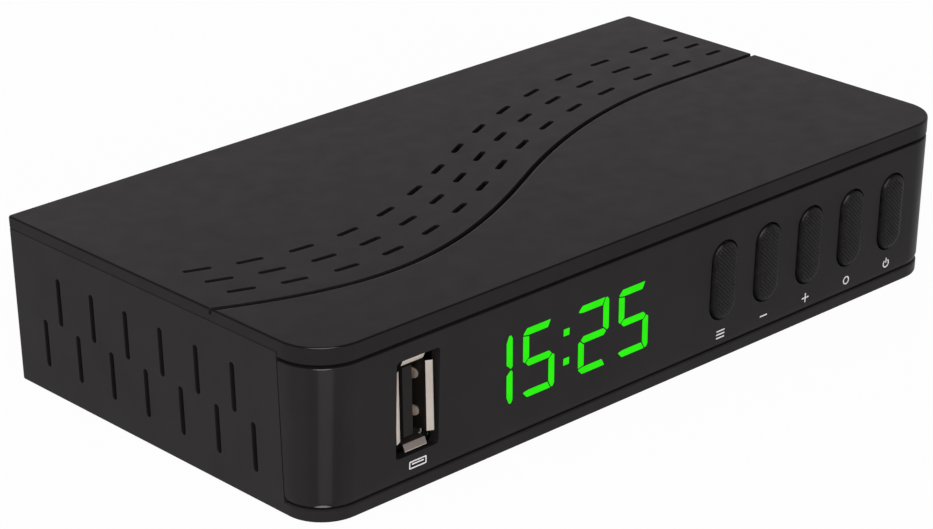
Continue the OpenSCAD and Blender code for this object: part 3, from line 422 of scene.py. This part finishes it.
for part in frame["record"]["subparts"]:
    dressNode(part["node"], nodeFinish.get(part["node"], slotFinish[part["material_slot"]]))
print("nodes dressed")

# Front panel's face, in mm: middle of the controls, lean, how deep thin shapes sink into it
panelFace = {"y": -41.242, "z": 14.9, "lean": math.atan(1.4 / 28), "sink": 0.02}


def facePoint(x, up, out):
    lean = panelFace["lean"]
    y = panelFace["y"] - up * math.sin(lean) - out * math.cos(lean)
    z = panelFace["z"] + up * math.cos(lean) - out * math.sin(lean)
    return Vector((x * mm, y * mm, z * mm))


def addMesh(name, points, faces, finish, body, sharpAbove=None):
    mesh = bpy.data.meshes.new(name)
    mesh.from_pydata(points, [], faces)
    mesh.materials.append(finish)
    mesh.update()
    if sharpAbove:
        mesh.shade_smooth()
        mesh.set_sharp_from_angle(angle=math.radians(sharpAbove))
    piece = bpy.data.objects.new(name, mesh)
    scene.collection.objects.link(piece)
    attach(piece, body)
    return piece


# Thin raised shapes on the panel: each outline is a loop, or an (outer, inner) pair of loops
def thinShapes(outlines, rise):
    points, faces = [], []

    def addLoop(loop, out):
        first = len(points)
        points.extend(facePoint(x, up, out) for x, up in loop)
        return [first + i for i in range(len(loop))]

    for outline in outlines:
        loops = outline if isinstance(outline, tuple) else (outline,)
        tops = [addLoop(loop, rise) for loop in loops]
        feet = [addLoop(loop, -panelFace["sink"]) for loop in loops]
        count = len(tops[0])
        if len(loops) == 1:
            faces += [tops[0], feet[0][::-1]]
        else:
            for i in range(count):
                j = (i + 1) % count
                faces.append([tops[0][i], tops[0][j], tops[1][j], tops[1][i]])
                faces.append([feet[0][j], feet[0][i], feet[1][i], feet[1][j]])
        for side, (top, foot) in enumerate(zip(tops, feet)):
            for i in range(count):
                j = (i + 1) % count
                wall = [top[i], foot[i], foot[j], top[j]]
                faces.append(wall if side == 0 else wall[::-1])
    return points, faces


def roundedLoop(loop, radius, steps=4):
    out = []
    for i, corner in enumerate(loop):
        here = Vector(corner)
        before = (Vector(loop[i - 1]) - here).normalized()
        after = (Vector(loop[(i + 1) % len(loop)]) - here).normalized()
        for k in range(steps + 1):
            t = k / steps
            point = here + before * radius * (1 - t) ** 2 + after * radius * t ** 2
            out.append((point.x, point.y))
    return out


# Lit clock, in mm; cuts at the bars' ends are measured in from the digit's outer corners
clock = {"shown": "1525", "middle": -19.6, "drop": -0.35, "pitch": 8.694, "width": 6.5,
         "height": 11.6, "upright": 1.2, "level": 1.16, "gap": 0.12, "round": 0.1,
         "slant": -0.03, "colonUp": 2.48, "colonRoom": 1 / 6, "rise": 0.03,
         "capRight": (0.84, 1.42), "capLeft": [(0.8, 0), (0.03, 0.85), (0.15, 1.0)],
         "shoulder": [(0, 0.62), (0.3, 0.1), (0.7, 0.1)], "innerDrop": (0.1, 0.26),
         "waistTip": (0.35, 0.3), "waistInner": 0.9, "barTip": 0.55, "barEnd": 1.1}
barsOf = {"1": "bc", "2": "abged", "5": "afgcd"}


# Bars a, b, f and g of one digit; the rest are their mirror images
def digitBars(middle, shown):
    w, h, g = clock["width"] / 2, clock["height"] / 2, clock["gap"]
    t, u = clock["level"], clock["upright"]
    tip, end = clock["barTip"], clock["barEnd"]
    capOuter, capInner = clock["capRight"]
    rightDrop, leftDrop = clock["innerDrop"]
    tipIn, tipUp = clock["waistTip"]
    waist = clock["waistInner"]
    cap = [(w - capOuter, h), *[(x - w, h - y) for x, y in clock["capLeft"]],
           (end - w, h - t), (w - capInner, h - t)]
    right = [(w, g + tipUp), *[(w - x, h - y) for x, y in clock["shoulder"]],
             (w - u, h - t - rightDrop), (w - u, waist), (w - tipIn, g)]
    left = [(-w, h - t), (-w, g + tipUp), (tipIn - w, g), (u - w, waist), (u - w, h - t - leftDrop)]
    bar = [(w - tip, 0), (w - end, t / 2), (end - w, t / 2), (tip - w, 0), (end - w, -t / 2),
           (w - end, -t / 2)]
    shapes = {key: roundedLoop(loop, clock["round"])
              for key, loop in zip("abfg", (cap, right, left, bar))}
    for key, twin in zip("dce", "abf"):
        shapes[key] = [(x, -y) for x, y in shapes[twin]][::-1]
    return [[(x + y * clock["slant"] + middle, y + clock["drop"]) for x, y in shapes[key]]
            for key in barsOf[shown]]


def barLoop(x, up, wide, tall):
    return [(x + wide / 2, up - tall / 2), (x + wide / 2, up + tall / 2),
            (x - wide / 2, up + tall / 2), (x - wide / 2, up - tall / 2)]


def addClock():
    outlines = []
    room = clock["pitch"] * clock["colonRoom"]
    for i, shown in enumerate(clock["shown"]):
        middle = clock["middle"] + (i - 1.5) * clock["pitch"] + (room if i > 1 else -room)
        outlines += digitBars(middle, shown)
    dot = roundedLoop(barLoop(0, 0, clock["upright"], clock["level"]), clock["round"])
    for up in (clock["colonUp"], -clock["colonUp"]):
        middle = clock["middle"] + up * clock["slant"]
        outlines.append([(x + middle, y + clock["drop"] + up) for x, y in dot])
    points, faces = thinShapes(outlines, clock["rise"])
    addMesh("clockDigits", points, faces, segmentGlow, "case")


addClock()

keyNames = ["menu", "channel_down", "channel_up", "ok", "power"]
# Signs under the keys, in mm; the shares are of "size"
marks = {"up": -9.5, "size": 1.5, "line": 0.24, "rise": 0.012,
         "listPitch": 0.4, "listWide": 1.25, "lessWide": 1.1, "moreArm": 0.55, "ring": 0.5,
         "openRing": 0.52, "openFrom": 125, "openTurn": 290, "stemUp": 0.38, "stemTall": 0.62}


def keyMiddle(name):
    low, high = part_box(name + "_button")
    return (low.x + high.x) / 2 / mm


def ringLoops(x, up, radius, line, start=0.0, turn=360.0, steps=40):
    outer, inner = [], []
    parts = steps if turn == 360 else steps - 1
    for i in range(steps):
        a = math.radians(start + turn * i / parts)
        outer.append((x + radius * math.cos(a), up + radius * math.sin(a)))
        inner.append((x + (radius - line) * math.cos(a), up + (radius - line) * math.sin(a)))
    return outer, inner


# Plain signs: list, less, more, ring, stand-by
def markShapes(name, x):
    up, size, line = marks["up"], marks["size"], marks["line"]
    if name == "menu":
        return [barLoop(x, up + k * size * marks["listPitch"], size * marks["listWide"], line)
                for k in (-1, 0, 1)]
    if name == "channel_down":
        return [barLoop(x, up, size * marks["lessWide"], line)]
    if name == "channel_up":
        arm, half = size * marks["moreArm"], line / 2
        quarter = [(arm, -half), (arm, half), (half, half)]
        cross = []
        for turn in range(4):
            cross += quarter
            quarter = [(-b, a) for a, b in quarter]
        return [[(x + a, up + b) for a, b in cross]]
    if name == "ok":
        return [ringLoops(x, up, size * marks["ring"], line)]
    outer, inner = ringLoops(x, up, size * marks["openRing"], line, marks["openFrom"],
                             marks["openTurn"])
    return [outer + inner[::-1],
            barLoop(x, up + size * marks["stemUp"], line, size * marks["stemTall"])]


def addMarks():
    for name in keyNames:
        points, faces = thinShapes(markShapes(name, keyMiddle(name)), marks["rise"])
        addMesh(name + "Mark", points, faces, whiteInk, "case")


addMarks()

portMark = {"x": -49.6, "up": -9.4, "wide": 3.4, "tall": 1.3, "line": 0.22, "rise": 0.012,
            "outerRound": 0.2, "innerRound": 0.08, "tongueUp": 0.08, "tongueIn": 5}


# Plain socket outline below the front socket
def addPortMark():
    x, up, line = portMark["x"], portMark["up"], portMark["line"]
    wide, tall = portMark["wide"], portMark["tall"]
    outer = roundedLoop(barLoop(x, up, wide, tall), portMark["outerRound"])
    inner = roundedLoop(barLoop(x, up, wide - 2 * line, tall - 2 * line), portMark["innerRound"])
    tongue = barLoop(x, up + tall * portMark["tongueUp"], wide - portMark["tongueIn"] * line, line)
    points, faces = thinShapes([(outer, inner), tongue], portMark["rise"])
    addMesh("portMark", points, faces, whiteInk, "case")


addPortMark()
print("clock and signs made")

# Grip face, in mm; "crowd" draws the rows of points closer together at both ends
grip = {"wide": 4.7, "tall": 12.6, "face": 0.5, "crown": 0.16, "edge": -0.02, "rimSlope": 3,
        "pitch": 0.5, "ridge": 0.13, "cross": 0.03, "rows": 190, "columns": 64, "crowd": 0.35,
        "tip": 0.02, "root": 0.3, "sharpAbove": 60}


# Height of the grip face, and how far up a ridge the point lies
def gripShape(x, up):
    half = grip["wide"] / 2
    past = max(0.0, abs(up) - (grip["tall"] / 2 - half)) / half
    dome = max(0.0, 1 - (x / half) ** 2 - past ** 2)
    rim = min(1.0, dome * grip["rimSlope"])
    wave = 2 * math.pi / grip["pitch"] / math.sqrt(2)
    ridge = 0.5 + 0.5 * math.cos(wave * (x + up))
    cross = 0.5 + 0.5 * math.cos(wave * (x - up))
    hatch = grip["ridge"] * ridge + grip["cross"] * cross
    out = grip["face"] + grip["edge"] * (1 - rim) + grip["crown"] * dome + hatch * rim
    return out, 0.5 + (ridge - 0.5) * rim


# Crowned grip face with a diagonal hatch, closed at the back
def addGrip(name):
    half, end = grip["wide"] / 2, grip["tall"] / 2
    rows, columns = grip["rows"], grip["columns"]
    middle = keyMiddle(name)
    points, faces, ridges = [], [], []
    for r in range(rows + 1):
        along = 2 * r / rows - 1
        up = end * math.sin(math.pi / 2 * along) * grip["crowd"]
        up += end * along * (1 - grip["crowd"])
        past = max(0.0, abs(up) - (end - half))
        reach = math.sqrt(max(half * half - past * past, grip["tip"] ** 2))
        for c in range(columns + 1):
            x = reach * (2 * c / columns - 1)
            out, ridge = gripShape(x, up)
            points.append(facePoint(middle + x, up, out))
            ridges.append(ridge)
    wide = columns + 1
    for r in range(rows):
        for c in range(columns):
            a = r * wide + c
            faces.append([a, a + 1, a + wide + 1, a + wide])
    rim = list(range(wide)) + [r * wide + columns for r in range(1, rows)]
    rim += [rows * wide + c for c in reversed(range(wide))]
    rim += [r * wide for r in range(rows - 1, 0, -1)]
    back = len(points)
    inward = facePoint(0, 0, grip["root"]) - facePoint(0, 0, grip["face"])
    for i, edge in enumerate(rim):
        points.append(points[edge] + inward)
        ridges.append(ridges[edge])
        after = (i + 1) % len(rim)
        faces.append([rim[after], edge, back + i, back + after])
    faces.append([back + i for i in reversed(range(len(rim)))])
    piece = addMesh(name + "Grip", points, faces, gripPlastic, name + "_key",
                    grip["sharpAbove"])
    piece.data.attributes.new("ridge", "FLOAT", "POINT").data.foreach_set("value", ridges)


for keyName in keyNames:
    addGrip(keyName)
print("key grips made")

floorLook = {"colour": (0.95, 0.95, 0.95), "speck": 0.01, "speckScale": 40, "rough": 0.9,
             "glow": 0.97, "size": 4.0, "drop": 0.0001}


# Pale floor, shown white to the camera with the shadow kept faint
def addFloor():
    half, drop = floorLook["size"] / 2, floorLook["drop"]
    mesh = bpy.data.meshes.new("studioFloor")
    square = [(-half, -half), (half, -half), (half, half), (-half, half)]
    mesh.from_pydata([(x, y, -drop) for x, y in square], [], [(0, 1, 2, 3)])
    material, tree, shader, coords = startMaterial("paleFloor", Roughness=floorLook["rough"])
    speck = addNoise(tree, coords, floorLook["speckScale"], "cloud")
    colour = addTones(tree, speck, *tones(floorLook["colour"], floorLook["speck"]))
    tree.links.new(colour, shader.inputs["Base Color"])
    glow = newNode(tree, "ShaderNodeEmission")
    path = newNode(tree, "ShaderNodeLightPath")
    seen = newNode(tree, "ShaderNodeMath", operation="MAXIMUM")
    seenAny = newNode(tree, "ShaderNodeMath", operation="MAXIMUM")
    share = newNode(tree, "ShaderNodeMath", operation="MULTIPLY")
    share.inputs[1].default_value = floorLook["glow"]
    mix = newNode(tree, "ShaderNodeMixShader")
    tree.links.new(path.outputs["Is Camera Ray"], seen.inputs[0])
    tree.links.new(path.outputs["Is Glossy Ray"], seen.inputs[1])
    tree.links.new(seen.outputs[0], seenAny.inputs[0])
    tree.links.new(path.outputs["Is Transmission Ray"], seenAny.inputs[1])
    tree.links.new(seenAny.outputs[0], share.inputs[0])
    tree.links.new(share.outputs[0], mix.inputs["Fac"])
    tree.links.new(shader.outputs["BSDF"], mix.inputs[1])
    tree.links.new(glow.outputs["Emission"], mix.inputs[2])
    tree.links.new(mix.outputs["Shader"], tree.nodes["Material Output"].inputs["Surface"])
    mesh.materials.append(material)
    floor = bpy.data.objects.new("studioFloor", mesh)
    scene.collection.objects.link(floor)


addFloor()

skyLook = {"stops": [(0.0, 1.0), (0.18, 1.0), (0.30, 0.35), (0.40, 0.70), (0.55, 0.70),
                     (0.70, 0.0)],
           "tint": (1.0, 0.936, 0.967), "strength": 1.46}


# Soft studio room: white near the floor, dimmer above
def addWorld():
    world = bpy.data.worlds.new("studioRoom")
    scene.world = world
    world.use_nodes = True
    tree = world.node_tree
    back = tree.nodes["Background"]
    coords = newNode(tree, "ShaderNodeTexCoord")
    split = newNode(tree, "ShaderNodeSeparateXYZ")
    tree.links.new(coords.outputs["Generated"], split.inputs["Vector"])
    stops = [(place, [level * c for c in skyLook["tint"]]) for place, level in skyLook["stops"]]
    tree.links.new(addRamp(tree, split.outputs["Z"], stops), back.inputs["Color"])
    back.inputs["Strength"].default_value = skyLook["strength"]


addWorld()

lampTint = (1.034, 0.968, 1.0)
caseMiddle = (0, 0, 0.014)
softboxes = {
    "rearBox": {"place": (0.219, 0.817, 0.322), "aim": caseMiddle,
                "size": (0.5, 0.35), "watts": 0.17},
    "leftBox": {"place": (-0.816, 0.0, 0.394), "aim": caseMiddle,
                "size": (0.5, 0.4), "watts": 2.5},
    "frontBox": {"place": (-0.219, -0.817, 0.322), "aim": caseMiddle,
                 "size": (0.35, 0.4), "watts": 3.3},
    "cornerBox": {"place": (-0.218, -0.196, 0.076), "aim": (-0.06, -0.04, 0.014),
                  "size": (0.08, 0.08), "watts": 0.125},
}


def addSoftbox(name, look):
    data = bpy.data.lights.new(name, "AREA")
    data.shape = "RECTANGLE"
    data.size, data.size_y = look["size"]
    data.energy = look["watts"]
    data.color = lampTint
    lamp = bpy.data.objects.new(name, data)
    lamp.location = look["place"]
    aim = Vector(look["aim"]) - Vector(look["place"])
    lamp.rotation_euler = aim.to_track_quat("-Z", "Y").to_euler()
    scene.collection.objects.link(lamp)


for boxName, boxLook in softboxes.items():
    addSoftbox(boxName, boxLook)
print("studio lit")
